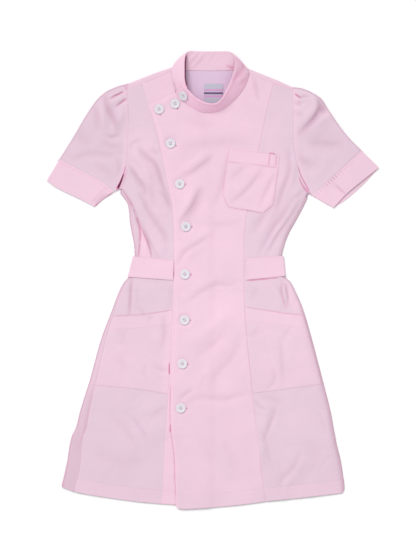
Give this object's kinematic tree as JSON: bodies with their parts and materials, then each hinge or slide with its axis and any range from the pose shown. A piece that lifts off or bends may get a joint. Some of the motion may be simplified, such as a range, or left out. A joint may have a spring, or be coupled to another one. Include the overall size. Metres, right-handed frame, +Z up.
{
  "type": "nurse uniform dress",
  "caption": "Short-sleeved nurse uniform dress with a stand collar, asymmetric buttoned front, half belt and patch pockets, laid flat on its back.",
  "frame": {"origin": "middle of the laid garment's footprint, on the surface it lies on", "axes": "+Y from the hem to the collar, +X to the wearer's left, +Z up from the surface out of the garment's front"},
  "size_m": [0.663, 0.9146, 0.0268],
  "materials": {
    "cloth_single": "soft poly-cotton twill, one ply, pale lilac pink",
    "cloth_double": "soft poly-cotton twill, two plies, pale pink",
    "button": "white semi-gloss",
    "label": "plain woven tape, pale grey"
  },
  "bodies": {
    "root": {"back": "cloth_single", "side_front_right": "cloth_single", "side_front_left": "cloth_single", "front_underlap": "cloth_single", "front_overlap": "cloth_double", "collar": "cloth_double", "sleeve_right": "cloth_single", "sleeve_left": "cloth_single", "cuff_right": "cloth_double", "cuff_left": "cloth_double", "pocket_breast": "cloth_double", "pocket_skirt_right": "cloth_double", "pocket_skirt_left": "cloth_double", "belt": "cloth_double", "label": "label", "button_01": "button", "button_02": "button", "button_03": "button", "button_04": "button", "button_05": "button", "button_06": "button", "button_07": "button", "button_08": "button", "button_09": "button", "button_10": "button"}
  },
  "joints": []
}
